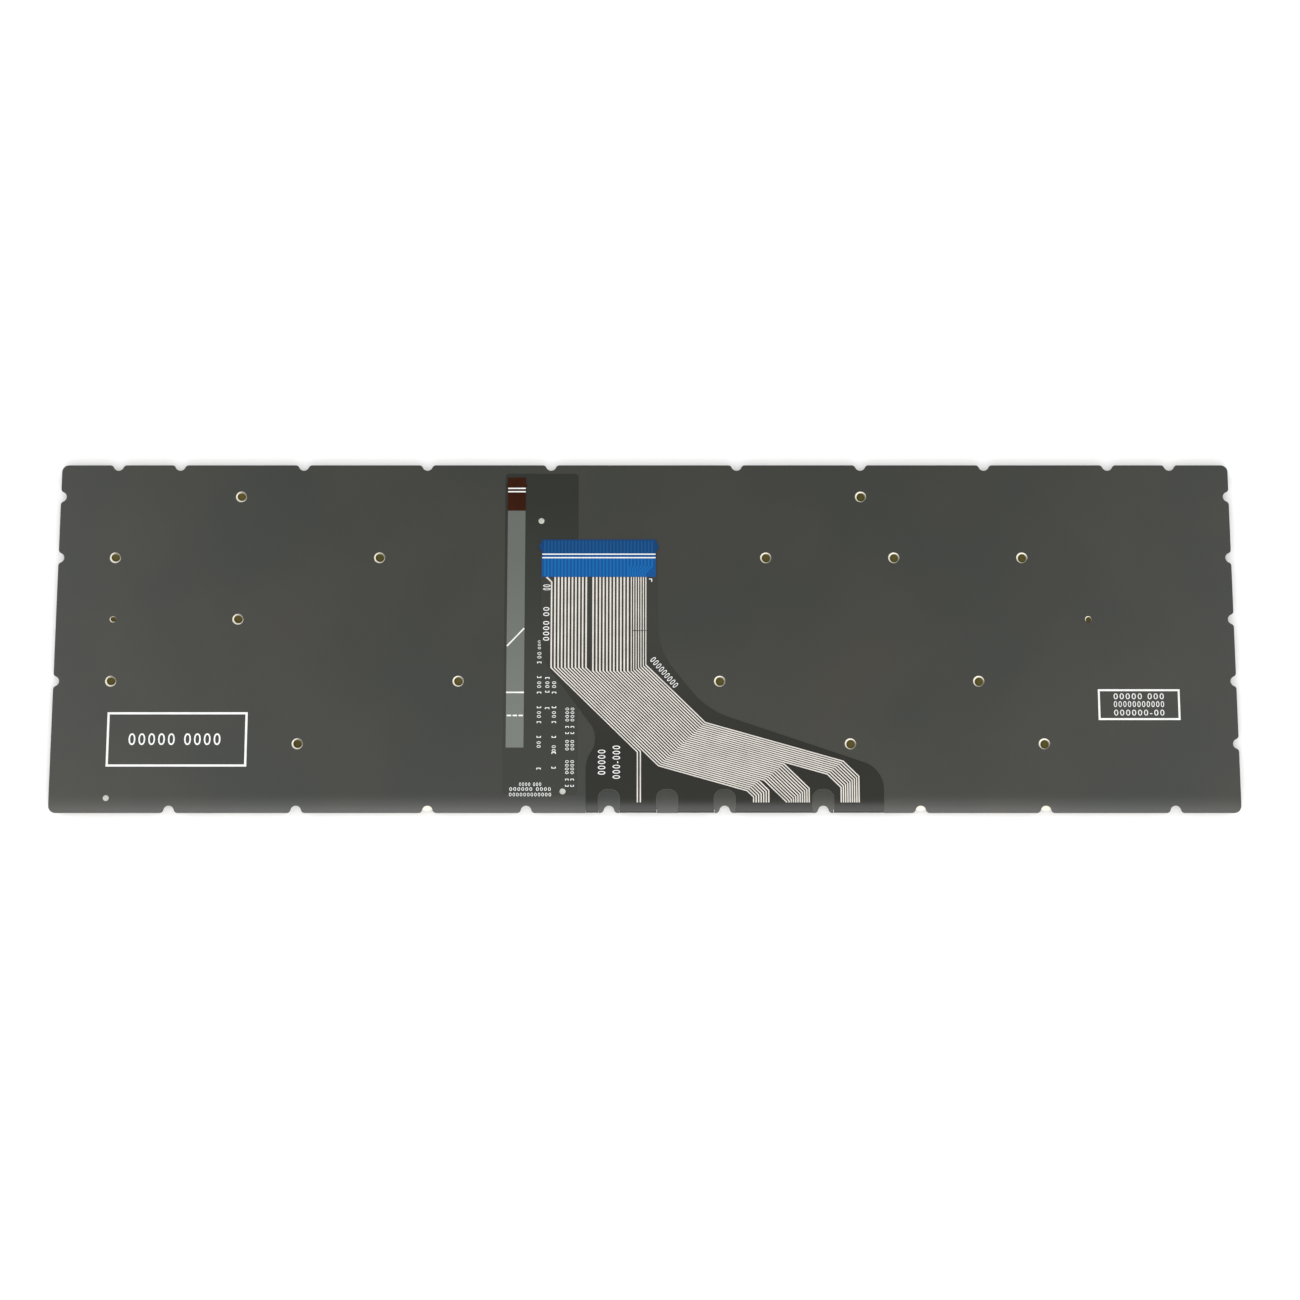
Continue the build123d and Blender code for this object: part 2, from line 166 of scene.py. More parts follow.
def add_notch(bm, place, turn, depth, radius, shoulder):
    """Adds a cutter for a round-bottomed notch, flared at its shoulders, with its mouth at place."""
    first = len(bm.verts)
    climb = radius - depth + shoulder
    reach = math.sqrt((radius + shoulder) ** 2 - climb ** 2)
    lean = math.atan2(climb, reach)
    last = bm.verts.new((-reach, 0, 0))
    bends = (
        ((-reach, -shoulder, 0), lean - math.pi / 2, 6),
        ((0, radius - depth, 0), math.pi - 2 * lean, 12),
        ((reach, -shoulder, 0), lean - math.pi / 2, 6),
    )
    for centre, angle, steps in bends:
        spun = bmesh.ops.spin(bm, geom=[last], cent=centre, axis=(0, 0, 1), angle=angle, steps=steps)
        last = [item for item in spun["geom_last"] if isinstance(item, bmesh.types.BMVert)][0]
    bm.verts.new((reach, radius, 0))
    bm.verts.new((-reach, radius, 0))
    bm.verts.ensure_lookup_table()
    face = bm.faces.new(bm.verts[first:])
    raised = bmesh.ops.extrude_face_region(bm, geom=[face])
    top = [item for item in raised["geom"] if isinstance(item, bmesh.types.BMVert)]
    bmesh.ops.translate(bm, verts=top, vec=(0, 0, 2 * mm))
    bm.verts.ensure_lookup_table()
    matrix = Matrix.Translation(place) @ Matrix.Rotation(turn, 4, "Z")
    bmesh.ops.transform(bm, matrix=matrix, verts=bm.verts[first:])


def add_box(bm, low, high):
    """Adds a box between two corners."""
    low, high = Vector(low), Vector(high)
    matrix = Matrix.Translation((low + high) / 2) @ Matrix.Diagonal((*(high - low), 1))
    return bmesh.ops.create_cube(bm, size=1, matrix=matrix)["verts"]


def add_round(bm, x, y, z, radius, height):
    """Adds an upright cylinder."""
    matrix = Matrix.Translation((x, y, z))
    bmesh.ops.create_cone(bm, cap_ends=True, segments=40, radius1=radius, radius2=radius,
                          depth=height, matrix=matrix)


def add_holes(bm, level, stake_radius, pin_radius, slip=0, turn=0):
    """Adds cutters for the stake and pin holes of a sheet, which may lie a little askew."""
    for places, radius in ((stake_holes, stake_radius), (pin_holes, pin_radius)):
        for x, y in places:
            add_round(bm, x + slip, y + turn * x, level, radius, 4 * mm)


def edge_cutters(level, grow):
    """Cutters for the notches of all four edges and for the strips that the tail folds round."""
    bm = bmesh.new()
    radius, depth, front_depth, shoulder = 1.5 * mm, 1.65 * mm, 2.1 * mm, 1.1 * mm
    base = level - mm
    for column in rear_columns:
        place = (column_x(column), film_high.y, base)
        add_notch(bm, place, 0, depth + grow, radius + grow, shoulder)
    for column in front_columns:
        place = (column_x(column), film_low.y, base)
        add_notch(bm, place, math.pi, front_depth + grow, radius + grow, shoulder)
    for row in pad_side_rows:
        place = (film_low.x, row_y(row), base)
        add_notch(bm, place, math.pi / 2, depth + grow, radius + grow, shoulder)
    for row in main_side_rows:
        place = (film_high.x, row_y(row), base)
        add_notch(bm, place, -math.pi / 2, depth + grow, radius + grow, shoulder)
    for left, right in tail_legs:
        add_box(bm, ((left - 0.05) * mm, film_low.y - mm, level - mm),
                ((right + 0.05) * mm, film_low.y + tail_recess, level + mm))
    return bm


def new_object(name, bm):
    """Turns a finished bmesh into an object, shaded smooth up to sharp edges."""
    mesh = bpy.data.meshes.new(name)
    bm.to_mesh(mesh)
    bm.free()
    mesh.shade_smooth()
    mesh.set_sharp_from_angle(angle=math.radians(30))
    piece = bpy.data.objects.new(name, mesh)
    bpy.context.scene.collection.objects.link(piece)
    return piece


def cut_across(bm, lines):
    """Divides the faces of a mesh along lines that run across the keyboard."""
    for y in lines:
        everything = bm.verts[:] + bm.edges[:] + bm.faces[:]
        bmesh.ops.bisect_plane(bm, geom=everything, dist=1e-7, plane_co=(0, y, 0), plane_no=(0, 1, 0))


def round_edges(bm, edges, radius, steps):
    """Rounds edges of a mesh."""
    bmesh.ops.bevel(bm, geom=edges, offset=radius, segments=steps, profile=0.5, affect="EDGES",
                    material=-1)


def sheet(name, low, high, corner, bend_lines=()):
    """A flat sheet with rounded corners, divided along the lines that it bends at."""
    bm = bmesh.new()
    add_box(bm, low, high)
    height = high[2] - low[2]
    upright = [e for e in bm.edges if abs(e.verts[0].co.z - e.verts[1].co.z) > height / 2]
    round_edges(bm, upright, corner, 6)
    cut_across(bm, bend_lines)
    return new_object(name, bm)


def baked_mesh(holder):
    """Mesh of an object with its modifiers or its curve settings applied."""
    depsgraph = bpy.context.evaluated_depsgraph_get()
    return bpy.data.meshes.new_from_object(holder.evaluated_get(depsgraph))


def carve(piece, cutter):
    """Cuts the shapes in the cutter out of a piece."""
    bmesh.ops.recalc_face_normals(cutter, faces=cutter.faces)
    knife = new_object("knife", cutter)
    cut = piece.modifiers.new("carve", "BOOLEAN")
    cut.operation = "DIFFERENCE"
    cut.solver = "EXACT"
    cut.use_self = True
    cut.object = knife
    mesh = baked_mesh(piece)
    piece.modifiers.clear()
    piece.data = mesh
    bpy.data.objects.remove(knife)


def follow(bm, surface):
    """Moves each vertex of a mesh by the rule of a surface."""
    for vert in bm.verts:
        vert.co = surface(vert.co)


def reshape(piece, surface):
    """Lays a finished sheet along a surface, with its faces split into flat triangles."""
    bm = bmesh.new()
    bm.from_mesh(piece.data)
    bmesh.ops.triangulate(bm, faces=bm.faces)
    follow(bm, surface)
    bm.to_mesh(piece.data)
    bm.free()
    piece.data.shade_smooth()
    piece.data.set_sharp_from_angle(angle=math.radians(30))


def settle(piece, material, body="base", stands_for=()):
    """Gives a piece its finish, its body and the CAD nodes that it stands for."""
    for item in material if isinstance(material, (list, tuple)) else [material]:
        piece.data.materials.append(item)
    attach(piece, body)
    if stands_for:
        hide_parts(*stands_for)
    return piece


zinc = finish("zinc_plated_steel", srgb(168, 163, 146), srgb(194, 188, 170), (0.35, 0.5),
              cloud=120.0, Metallic=0.6)
plate_corner = 1.2 * mm
plate_margin = 0.2 * mm
plate_stake_radius = 1.25 * mm
plate_pin_radius = 0.85 * mm
plate = sheet("support_plate_sheet", plate_low, plate_high, plate_corner)
plate_cutter = edge_cutters(plate_low.z, plate_margin)
add_holes(plate_cutter, plate_low.z, plate_stake_radius, plate_pin_radius)
carve(plate, plate_cutter)
settle(plate, zinc, stands_for=["support_plate"])

# Contact membrane: amber film under the plate, seen through its holes, in one piece with the tail,
# which is coated black, folds round the front edge and lies on the back. The amber is partly painted
# shade: it is darkened to a dark olive, and the sheet is left whole under the plate's holes, so that it
# stands for the shade seen through them. The tail is cut out in arches where the edge has notches.
membrane_low, membrane_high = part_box("membrane")
tail_thickness = 0.12 * mm
sheet_thickness = 0.25 * mm
inner_inset = 2.6 * mm
front_y = film_low.y
land_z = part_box("light_guide")[0].z + 0.12 * mm
tail_drop = membrane_high.z - tail_thickness - land_z
slope_head = front_y + 4.8 * mm
fold_radius = (land_z + tail_thickness - membrane_low.z) / 2
fold_y = front_y + fold_radius
bend_radius = fold_radius - tail_thickness / 2
slope_power = 3
fold_start = math.atan(slope_power * tail_drop / (slope_head - fold_y))
fold_length = (math.pi - fold_start) * bend_radius
tail_end_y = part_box("tail_stiffener")[1].y
tail_root = fold_y - fold_length - 1.7 * mm
tail_corners = (
    (-30.0, tail_end_y / mm, 0), (-30.0, -5.8, 4.5), (-12.4, -30.0, 5.0), (-16.8, -36.0, 2.5),
    (-16.8, tail_root / mm, 0), (68.1, tail_root / mm, 0), (68.1, -38.9, 5.5), (17.8, -21.6, 6.0),
    (3.5, -3.6, 7.0), (3.5, tail_end_y / mm, 0),
)
tail_arches = (8.95, 9.87, 10.78, 12.34)
arch_half = 3.0 * mm
arch_height = 6.7 * mm
arch_corner = 2.6 * mm


def slope_lines(head, foot):
    """Lines across a slope that is to be bent in small steps, and one just behind it."""
    return [head + 0.4 * mm] + [head + (foot - head) * step / 8 for step in range(9)]


def tail_surface(point):
    """Where a point of the flat tail comes to lie: on the back, down its slope or round the fold."""
    x, y, z = point
    past = fold_y - y
    if past <= 0:
        share = max(slope_head - y, 0) / (slope_head - fold_y)
        return Vector((x, y, z - tail_drop * share ** slope_power))
    radius = bend_radius + z - (membrane_high.z - tail_thickness / 2)
    centre_y = fold_y + bend_radius * math.sin(fold_start)
    centre_z = land_z + tail_thickness / 2 - bend_radius * math.cos(fold_start)
    angle = fold_start + min(past, fold_length) / bend_radius
    beyond = max(past - fold_length, 0)
    return Vector((x, centre_y - radius * math.sin(angle) + beyond, centre_z + radius * math.cos(angle)))


membrane_ink = finish("black_membrane_film", srgb(28, 28, 23), srgb(47, 47, 43), (0.28, 0.36),
                      bump=0.02, along=("Y", -0.06, 0.03), Specular_IOR_Level=0.32)
# Painted shade: the membrane's real amber is darkened to a dark olive, and the sheet has no holes, so it
# stands for the shade seen through the plate's holes.
amber_film_with_painted_shade = finish("amber_membrane_film", srgb(68, 62, 25), srgb(82, 74, 33), (0.5, 0.6),
                    cloud=90.0, bump=0.02, Specular_IOR_Level=0.1)
membrane_sheet = sheet(
    "membrane_sheet", (membrane_low.x, front_y + inner_inset, membrane_low.z),
    (membrane_high.x, film_high.y - inner_inset, membrane_low.z + sheet_thickness), 1.0 * mm)
settle(membrane_sheet, amber_film_with_painted_shade, stands_for=["membrane"])

tail_mesh = bmesh.new()
corner_verts = [tail_mesh.verts.new((x * mm, y * mm, membrane_high.z - tail_thickness))
                for x, y, bend in tail_corners]
tail_mesh.faces.new(corner_verts)
for vert, (x, y, bend) in zip(corner_verts, tail_corners):
    if bend:
        bmesh.ops.bevel(tail_mesh, geom=[vert], offset=bend * mm, segments=7, profile=0.5,
                        affect="VERTICES", material=-1)
tail_face = bmesh.ops.extrude_face_region(tail_mesh, geom=tail_mesh.faces[:])
tail_top = [item for item in tail_face["geom"] if isinstance(item, bmesh.types.BMVert)]
bmesh.ops.translate(tail_mesh, verts=tail_top, vec=(0, 0, tail_thickness))
bmesh.ops.recalc_face_normals(tail_mesh, faces=tail_mesh.faces)
fold_lines = [fold_y - fold_length * step / 12 for step in range(1, 13)]
bmesh.ops.triangulate(tail_mesh, faces=[f for f in tail_mesh.faces if len(f.verts) > 4])
cut_across(tail_mesh, slope_lines(slope_head, fold_y) + fold_lines)
tail = new_object("membrane_tail", tail_mesh)
arch_cutter = bmesh.new()
for column in tail_arches:
    added = add_box(arch_cutter, (column_x(column) - arch_half, tail_root - mm, membrane_high.z - mm),
                    (column_x(column) + arch_half, front_y + arch_height, membrane_high.z + mm))
    head = [e for e in arch_cutter.edges if all(v in added for v in e.verts)
            and all(v.co.y > front_y for v in e.verts)
            and abs(e.verts[0].co.x - e.verts[1].co.x) < 1e-6]
    round_edges(arch_cutter, head, arch_corner, 8)
carve(tail, arch_cutter)
reshape(tail, tail_surface)
settle(tail, membrane_ink, stands_for=["membrane"])

# Rubber domes and scissors: a soft silicone dome springs each key back, and two moulded frames that
# cross round it keep the keycap level. They are clipped between the membrane and the keycap.
silicone = finish("silicone_dome", srgb(170, 172, 168), srgb(196, 198, 194), (0.4, 0.5),
                  cloud=300.0, Subsurface_Weight=0.2)
natural_plastic = finish("natural_scissor_plastic", srgb(188, 186, 176), srgb(204, 202, 194),
                         (0.4, 0.55), cloud=200.0)
pocket_z = 0.9 * mm
base_z = membrane_low.z


def add_mesh(bm, mesh, matrix, material_index=0):
    """Adds a placed mesh to a bmesh, with its faces on one of the piece's materials."""
    mesh.transform(matrix)
    for polygon in mesh.polygons:
        polygon.material_index = material_index
    bm.from_mesh(mesh)
    bpy.data.meshes.remove(mesh)


def as_mesh(bm):
    """Turns a bmesh into a plain mesh."""
    mesh = bpy.data.meshes.new("part")
    bm.to_mesh(mesh)
    bm.free()
    return mesh


def add_frame(bm, centre, width, depth, tilt):
    """Adds one tilted rectangular frame of a scissor."""
    bar, thickness = 0.9 * mm, 0.5 * mm
    turned = Matrix.Translation(centre) @ Matrix.Rotation(tilt, 4, "X")
    matrix = turned @ Matrix.Diagonal((width, depth, 1, 1))
    made = bmesh.ops.create_grid(bm, x_segments=1, y_segments=1, size=0.5, matrix=matrix)
    face = made["verts"][0].link_faces[0]
    ring = bmesh.ops.inset_individual(bm, faces=[face], thickness=bar, use_even_offset=True)["faces"]
    bmesh.ops.delete(bm, geom=[face], context="FACES")
    normal = ring[0].normal.copy()
    thick = bmesh.ops.extrude_face_region(bm, geom=ring, use_keep_orig=True)
    moved = [item for item in thick["geom"] if isinstance(item, bmesh.types.BMVert)]
    bmesh.ops.translate(bm, verts=moved, vec=normal * thickness)


def add_spring(bm, low, high):
    """Adds the dome and the two crossing frames under the keycap between two corners."""
    middle = (low + high) / 2
    width = min(12.4 * mm, high.x - low.x - 3 * mm)
    depth = min(10.4 * mm, high.y - low.y - 2.6 * mm)
    rise = base_z - pocket_z - 0.75 * mm
    tilt = math.asin(rise / depth)
    centre = Vector((middle.x, middle.y, (base_z + pocket_z) / 2))
    add_frame(bm, centre - Vector((0, 0, 0.25 * mm)), width, depth, tilt)
    add_frame(bm, centre - Vector((0, 0, 0.25 * mm)), width - 2.1 * mm, depth, -tilt)
    bmesh.ops.recalc_face_normals(bm, faces=bm.faces)
    size = min(1, depth / (8.4 * mm))
    profile = ((3.0, 3.70), (3.0, 3.50), (2.5, 3.36), (1.75, 1.75), (1.6, 1.2), (1.5, 0.92), (0.0, 0.92))
    dome = bmesh.new()
    verts = [dome.verts.new((middle.x + r * size * mm, middle.y, z * mm)) for r, z in profile]
    edges = [dome.edges.new(pair) for pair in zip(verts, verts[1:])]
    bmesh.ops.spin(dome, geom=verts + edges, cent=middle, axis=(0, 0, 1), angle=2 * math.pi,
                   steps=18, use_merge=True)
    bmesh.ops.remove_doubles(dome, verts=dome.verts, dist=1e-6)
    bmesh.ops.recalc_face_normals(dome, faces=dome.faces)
    add_mesh(bm, as_mesh(dome), Matrix.Identity(4), 1)


moving_keys = [name for name in sorted(nodes) if name.startswith("key_")]
for name in moving_keys:
    low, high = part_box(name)
    bm = bmesh.new()
    add_spring(bm, low, high)
    spring = new_object(name.replace("key_", "spring_"), bm)
    settle(spring, [natural_plastic, silicone],
           stands_for=["rubber_domes", "scissor_links"])
    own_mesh(spring)


def key_boxes(node):
    """Corners of each separate keycap in a node that holds many, row by row from the left."""
    bm = bmesh.new()
    bm.from_mesh(nodes[node].data)
    bmesh.ops.remove_doubles(bm, verts=bm.verts, dist=1e-6)
    left, boxes = set(bm.verts), []
    while left:
        island, edge_of = set(), [left.pop()]
        while edge_of:
            vert = edge_of.pop()
            island.add(vert)
            near = {e.other_vert(vert) for e in vert.link_edges} & left
            left -= near
            edge_of.extend(near)
        corners = [v.co.copy() for v in island]
        boxes.append((Vector(map(min, *corners)), Vector(map(max, *corners))))
    bm.free()
    return sorted(boxes, key=lambda box: (-round(box[1].y / mm), -box[0].x))


fixed_groups = ("function_and_number_keys", "number_pad_and_arrow_keys")
bm = bmesh.new()
for group in fixed_groups:
    for low, high in key_boxes(group):
        add_spring(bm, low, high)
settle(new_object("springs_of_other_keys", bm), [natural_plastic, silicone])

# Keycaps: thin hollow shells of fine matt black plastic with rounded corners and a shallow dish.
# Their legends are clear openings in the paint that the light shines through.
key_plastic = finish("black_keycap", srgb(34, 34, 35), srgb(40, 40, 41), (0.48, 0.6),
                     cloud=90.0, grain=9000.0, bump=0.25)
legend_clear = finish("clear_legend", srgb(205, 207, 206), srgb(222, 224, 222), (0.35, 0.45), cloud=400.0)
dish_depth = 0.06 * mm
legend_words = {
    "left_bracket": "[", "right_bracket": "]", "backslash": "\\", "caps_lock": "caps",
    "semicolon": ";", "quote": "'", "left_shift": "shift", "comma": ",", "period": ".",
    "slash": "/", "right_shift": "shift", "left_control": "ctrl", "function": "fn",
    "left_alt": "alt", "space": "", "right_alt": "alt", "right_control": "ctrl",
}
group_words = {
    "function_and_number_keys":
        ["esc", *[f"f{number}" for number in range(1, 13)], "prt", "del", "home", "end", "pgup", "pgdn",
         "`", *"1234567890-=", "back"],
    "number_pad_and_arrow_keys":
        ["num", *"/*-789+456123", "enter", *"<^>0.v"],
}


def curve_mesh(curve):
    """Mesh of a curve or of text."""
    holder = bpy.data.objects.new("outline", curve)
    bpy.context.scene.collection.objects.link(holder)
    mesh = baked_mesh(holder)
    bpy.data.objects.remove(holder)
    return mesh


def flat_text(words, size, thickness, spacing=1):
    """Mesh of some characters, centred, lying in the XY plane."""
    curve = bpy.data.curves.new("characters", "FONT")
    curve.body = words
    curve.size = size
    curve.space_character = spacing
    curve.align_x = "CENTER"
    curve.align_y = "CENTER"
    curve.extrude = thickness / 2
    curve.resolution_u = 3
    return curve_mesh(curve)


def add_keycap(bm, low, high, legend):
    """Adds a hollow keycap between two corners, top down, with its legend."""
    skirt_z, wall, corner, rounding = 2.0 * mm, 1.0 * mm, 1.7 * mm, 0.4 * mm
    draft = math.tan(math.radians(8)) * skirt_z
    middle = Vector(((low.x + high.x) / 2, (low.y + high.y) / 2, 0))
    cap = bmesh.new()
    add_box(cap, low, (high.x, high.y, skirt_z))
    upright = [e for e in cap.edges if abs(e.verts[0].co.z - e.verts[1].co.z) > mm]
    round_edges(cap, upright, corner, 5)
    for vert in cap.verts:
        if vert.co.z < mm:
            vert.co.x -= (vert.co.x - middle.x) / (high.x - middle.x) * draft
            vert.co.y -= (vert.co.y - middle.y) / (high.y - middle.y) * draft
    cap.normal_update()
    top = min(cap.faces, key=lambda f: f.calc_center_median().z)
    skirt = max(cap.faces, key=lambda f: f.calc_center_median().z)
    bmesh.ops.inset_individual(cap, faces=[skirt], thickness=wall, use_even_offset=True)
    pocket = bmesh.ops.extrude_discrete_faces(cap, faces=[skirt])["faces"][0]
    bmesh.ops.translate(cap, verts=pocket.verts[:], vec=(0, 0, pocket_z - skirt_z))
    round_edges(cap, top.edges[:], rounding, 3)
    cap.normal_update()
    top = min(cap.faces, key=lambda f: (round(f.calc_center_median().z, 6), -f.calc_area()))
    for share, shrink in ((0.5, 0.86), (0.35, 0.8), (0.15, 0.7)):
        top = bmesh.ops.extrude_discrete_faces(cap, faces=[top])["faces"][0]
        deeper = Matrix.Translation(middle + Vector((0, 0, dish_depth * share)))
        smaller = Matrix.Diagonal((shrink, shrink, 1, 1))
        bmesh.ops.transform(cap, verts=top.verts[:], matrix=deeper @ smaller @ Matrix.Translation(-middle))
    add_mesh(bm, as_mesh(cap), Matrix.Identity(4))
    if legend:
        size = (4.6 if len(legend) == 1 else 2.9) * mm
        place = Matrix.Translation((middle.x, middle.y, low.z + dish_depth))
        add_mesh(bm, flat_text(legend, size, 0.03 * mm), place @ Matrix.Rotation(math.pi, 4, "Y"), 1)


for name in moving_keys:
    low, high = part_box(name)
    word = name.replace("key_", "")
    bm = bmesh.new()
    add_keycap(bm, low, high, legend_words.get(word, word.upper() if len(word) == 1 else word))
    settle(new_object(name.replace("key_", "keycap_"), bm), [key_plastic, legend_clear],
           body=name, stands_for=[name])
for group in fixed_groups:
    bm = bmesh.new()
    for (low, high), word in zip(key_boxes(group), group_words[group]):
        add_keycap(bm, low, high, word)
    settle(new_object("keycaps_of_" + group, bm), [key_plastic, legend_clear], stands_for=[group])

# Light guide, reflector and diodes: a clear sheet spreads the light, a cream film behind it throws
# it back, and two rows of small diodes reach through a slot. They lie between plate and back film.
clear_sheet = finish("clear_light_guide", srgb(226, 230, 228), srgb(238, 240, 238), (0.12, 0.2),
                     cloud=30.0, Transmission_Weight=0.8, IOR=1.49)
cream_film = finish("cream_reflector", srgb(240, 233, 212), srgb(250, 245, 230), (0.45, 0.55), cloud=80.0)
phosphor = finish("diode_phosphor", srgb(228, 208, 120), srgb(240, 226, 150), (0.2, 0.3), cloud=900.0)


def paint(node, material):
    """Gives a CAD part that is shown as it is a finish of its own."""
    nodes[node].data.materials.clear()
    nodes[node].data.materials.append(material)


paint("light_guide", clear_sheet)
paint("light_diodes", phosphor)

reflector_low, reflector_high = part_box("reflector_film")
diode_low, diode_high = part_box("light_diodes")
diode_gap = Vector((0.4 * mm, 0.4 * mm, mm))
reflector = sheet("reflector_sheet", reflector_low, reflector_high, 1.0 * mm)
reflector_cutter = bmesh.new()
add_box(reflector_cutter, diode_low - diode_gap, diode_high + diode_gap)
reflector_stake_radius = 1.35 * mm
reflector_pin_radius = 0.95 * mm
reflector_slip = 0.2 * mm
reflector_turn = -0.0014
add_holes(reflector_cutter, reflector_low.z, reflector_stake_radius, reflector_pin_radius,
          reflector_slip, reflector_turn)
carve(reflector, reflector_cutter)
settle(reflector, cream_film, stands_for=["reflector_film"])

tabs = bmesh.new()
tab_columns = (6.08, 13.88, 15.86)
tab_thickness = 0.04 * mm
tab_radius = 1.7 * mm
tab_y = front_y + 2.3 * mm
for column in tab_columns:
    add_round(tabs, column_x(column), tab_y, plate_high.z + tab_thickness / 2, tab_radius, tab_thickness)
settle(new_object("cream_film_tabs", tabs), cream_film)

# Back film: black plastic film over the whole back, die-cut with the plate's notches and larger
# holes, stuck down on the reflector and drawn down on the plate along the front edge. Two white
# frames are printed on it, and the words in them are rows of zeros here.
film_thickness = film_high.z - reflector_high.z
film_drop = film_high.z - film_thickness - plate_high.z
film_slope_head = front_y + 5.2 * mm
film_stake_radius = 1.6 * mm
film_pin_radius = 0.95 * mm
film = sheet("back_film_sheet", (film_low.x, film_low.y, film_high.z - film_thickness), film_high,
             2.0 * mm, slope_lines(film_slope_head, front_y))
film_cutter = edge_cutters(film_high.z, 0)
add_holes(film_cutter, film_high.z, film_stake_radius, film_pin_radius)
carve(film, film_cutter)


def film_surface(point):
    """Where a point of the flat film comes to lie along the front edge."""
    share = max(film_slope_head - point.y, 0) / (film_slope_head - front_y)
    return Vector((point.x, point.y, point.z - film_drop * share ** 2))


reshape(film, film_surface)
film_black = finish("satin_black_film", srgb(28, 33, 27), srgb(40, 39, 30), (0.28, 0.38),
                    cloud=24.0, bump=0.08, IOR=1.6)
settle(film, film_black, stands_for=["back_film"])

print_white = finish("white_print", srgb(214, 216, 214), srgb(232, 233, 231), (0.5, 0.6), cloud=260.0)
print_thickness = 0.012 * mm


def ribbon(points, width, level, ends=None):
    """Flat ribbon along points given in millimetres, on a level, whose width may fall by a share."""
    curve = bpy.data.curves.new("ribbon", "CURVE")
    curve.dimensions = "3D"
    curve.twist_mode = "Z_UP"
    curve.extrude = (width * mm - print_thickness) / 2
    curve.bevel_depth = print_thickness / 2
    curve.bevel_resolution = 0
    curve.use_fill_caps = True
    spline = curve.splines.new("POLY")
    spline.points.add(len(points) - 1)
    for number, (x, y) in enumerate(points):
        spline.points[number].co = (x * mm, y * mm, level + print_thickness / 2, 1)
        spline.points[number].tilt = math.pi / 2
        spline.points[number].radius = ends[number] if ends else 1
    return curve_mesh(curve)


def add_line(bm, points, width, level):
    """Adds a printed line."""
    add_mesh(bm, ribbon(points, width, level), Matrix.Identity(4))


def add_zeros(bm, words, centre, length, height, level, turn=0):
    """Adds a row of characters of a given length and height, in millimetres, turned in degrees."""
    mesh = flat_text(words, 2 * mm, print_thickness, 1.25)
    xs = [v.co.x for v in mesh.vertices]
    ys = [v.co.y for v in mesh.vertices]
    middle = Vector(((max(xs) + min(xs)) / 2, (max(ys) + min(ys)) / 2, 0))
    stretch = Matrix.Diagonal((length * mm / (max(xs) - min(xs)), height * mm / (max(ys) - min(ys)), 1, 1))
    place = Matrix.Translation((centre[0] * mm, centre[1] * mm, level + print_thickness / 2))
    spin = Matrix.Rotation(math.radians(turn), 4, "Z")
    add_mesh(bm, mesh, place @ spin @ stretch @ Matrix.Translation(-middle))


def add_outline(bm, left, right, front, rear, width, level):
    """Adds a printed rectangle."""
    half = width / 2
    for y in (front, rear):
        add_line(bm, [(left - half, y), (right + half, y)], width, level)
    for x in (left, right):
        add_line(bm, [(x, front + half), (x, rear - half)], width, level)


def add_dot(bm, x, y, radius, level):
    """Adds a printed dot."""
    add_round(bm, x * mm, y * mm, level + print_thickness / 2, radius * mm, print_thickness)


film_print = bmesh.new()
add_outline(film_print, -153.5, -114.0, -37.9, -22.6, 0.64, film_high.z)
add_zeros(film_print, "00000 0000", (-134.4, -30.2), 26.3, 3.5, film_high.z)
add_outline(film_print, 130.2, 153.1, -24.3, -15.8, 0.57, film_high.z)
for words, y in (("00000 000", -17.6), ("00000000000", -19.9), ("000000-00", -22.4)):
    add_zeros(film_print, words, (141.6, y), 14.4, 1.75, film_high.z)
settle(new_object("white_frames", film_print), print_white)
dot_grey = finish("pale_dot", srgb(160, 160, 152), srgb(190, 190, 182), (0.5, 0.6), cloud=900.0)
film_dot = bmesh.new()
add_dot(film_dot, -153.4, -47.4, 0.85, film_high.z)
follow(film_dot, film_surface)
settle(new_object("pale_dot_on_film", film_dot), dot_grey)

# Light strip: dark flexible board stuck on the film under the tail, with small white marks for the
# parts that sit under it, all turned on their side.
strip_low, strip_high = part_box("light_strip")
strip_ink = finish("dark_strip_film", srgb(26, 29, 23), srgb(43, 45, 39), (0.36, 0.44), bump=0.04,
                   along=("Y", 0.08, -0.05), Specular_IOR_Level=0.34)
strip = sheet("light_strip_board", strip_low, strip_high, 1.0 * mm)
settle(strip, strip_ink, stands_for=["light_strip"])

mark_columns = (
    (-30.3, (-7.5, -12.1, -16.4, -21.0, -25.1, -29.7, -38.7), (-5.5, -14.2, -23.0, -31.8)),
    (-27.95, (-12.1, -16.4, -21.0), (-14.2,)),
    (-26.0, (-16.4, -21.0, -25.1, -29.7, -34.1, -38.7), (-14.2, -23.0, -33.0)),
)
strip_marks = bmesh.new()


def add_tick(x, y, half, drop, width):
    """Adds a small mark with two feet to the strip."""
    foot = y + drop
    route = [(x - half, foot), (x - half, y), (x + half, y), (x + half, foot)]
    add_line(strip_marks, route, width, strip_high.z)


